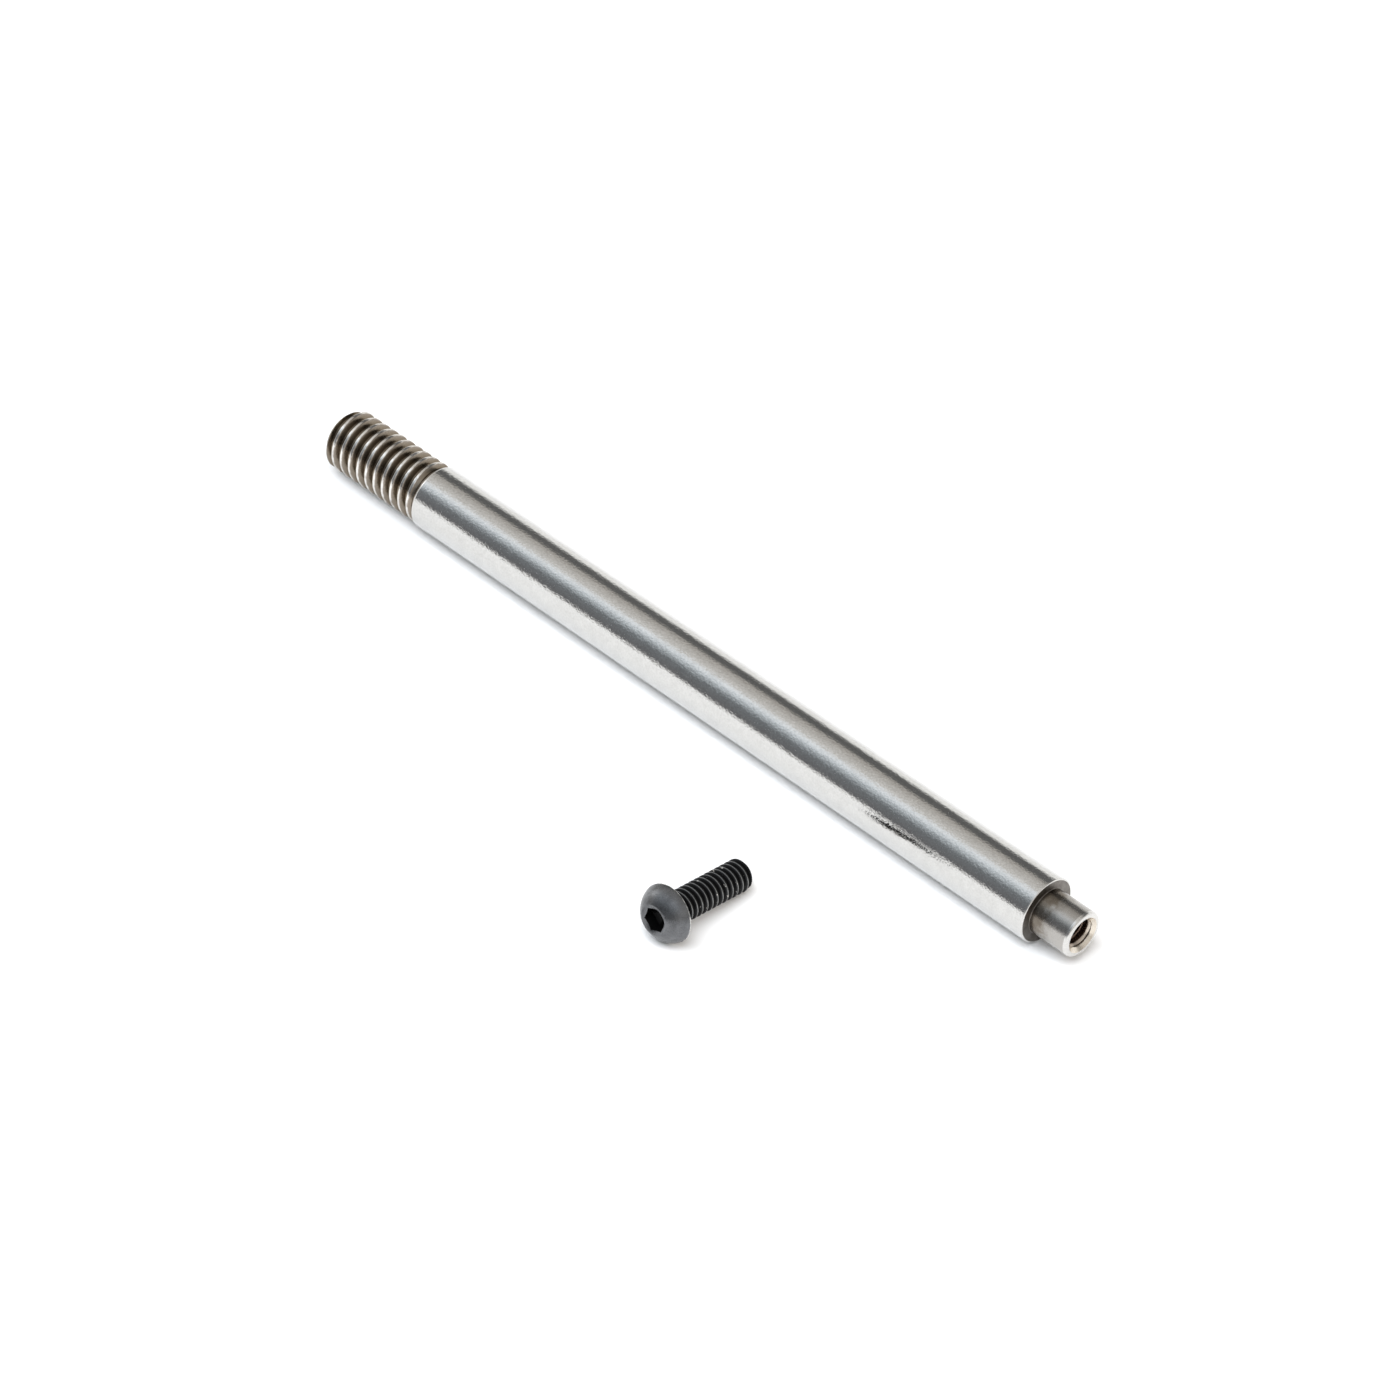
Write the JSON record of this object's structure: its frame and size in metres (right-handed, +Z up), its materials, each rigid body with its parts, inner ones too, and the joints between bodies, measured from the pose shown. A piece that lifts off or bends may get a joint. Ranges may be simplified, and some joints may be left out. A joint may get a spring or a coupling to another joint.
{
  "type": "shock absorber piston shaft with clamp screw",
  "caption": "Polished damper piston shaft with a rod-end thread, a tapped piston spigot and its loose button head screw.",
  "frame": {"origin": "on the shaft's axis, at the flat shoulder that the piston sits against", "axes": "+X along the shaft towards the tapped spigot, +Z up from the surface that the shaft and the screw lie on"},
  "size_m": [0.0582, 0.0181, 0.004],
  "materials": {
    "polished_steel": "ground and polished on the body, plain turned and rolled steel on the thread and spigot",
    "black_oxide_steel": "satin black oxide"
  },
  "bodies": {
    "shaft": {"shock_shaft": "polished_steel"},
    "screw": {"button_head_screw": "black_oxide_steel"}
  },
  "joints": [
    {"name": "screw_lift", "type": "slide", "parent": "shaft", "child": "screw", "axis": [0, 0, 1], "range_m": [0, 0.03]}
  ]
}
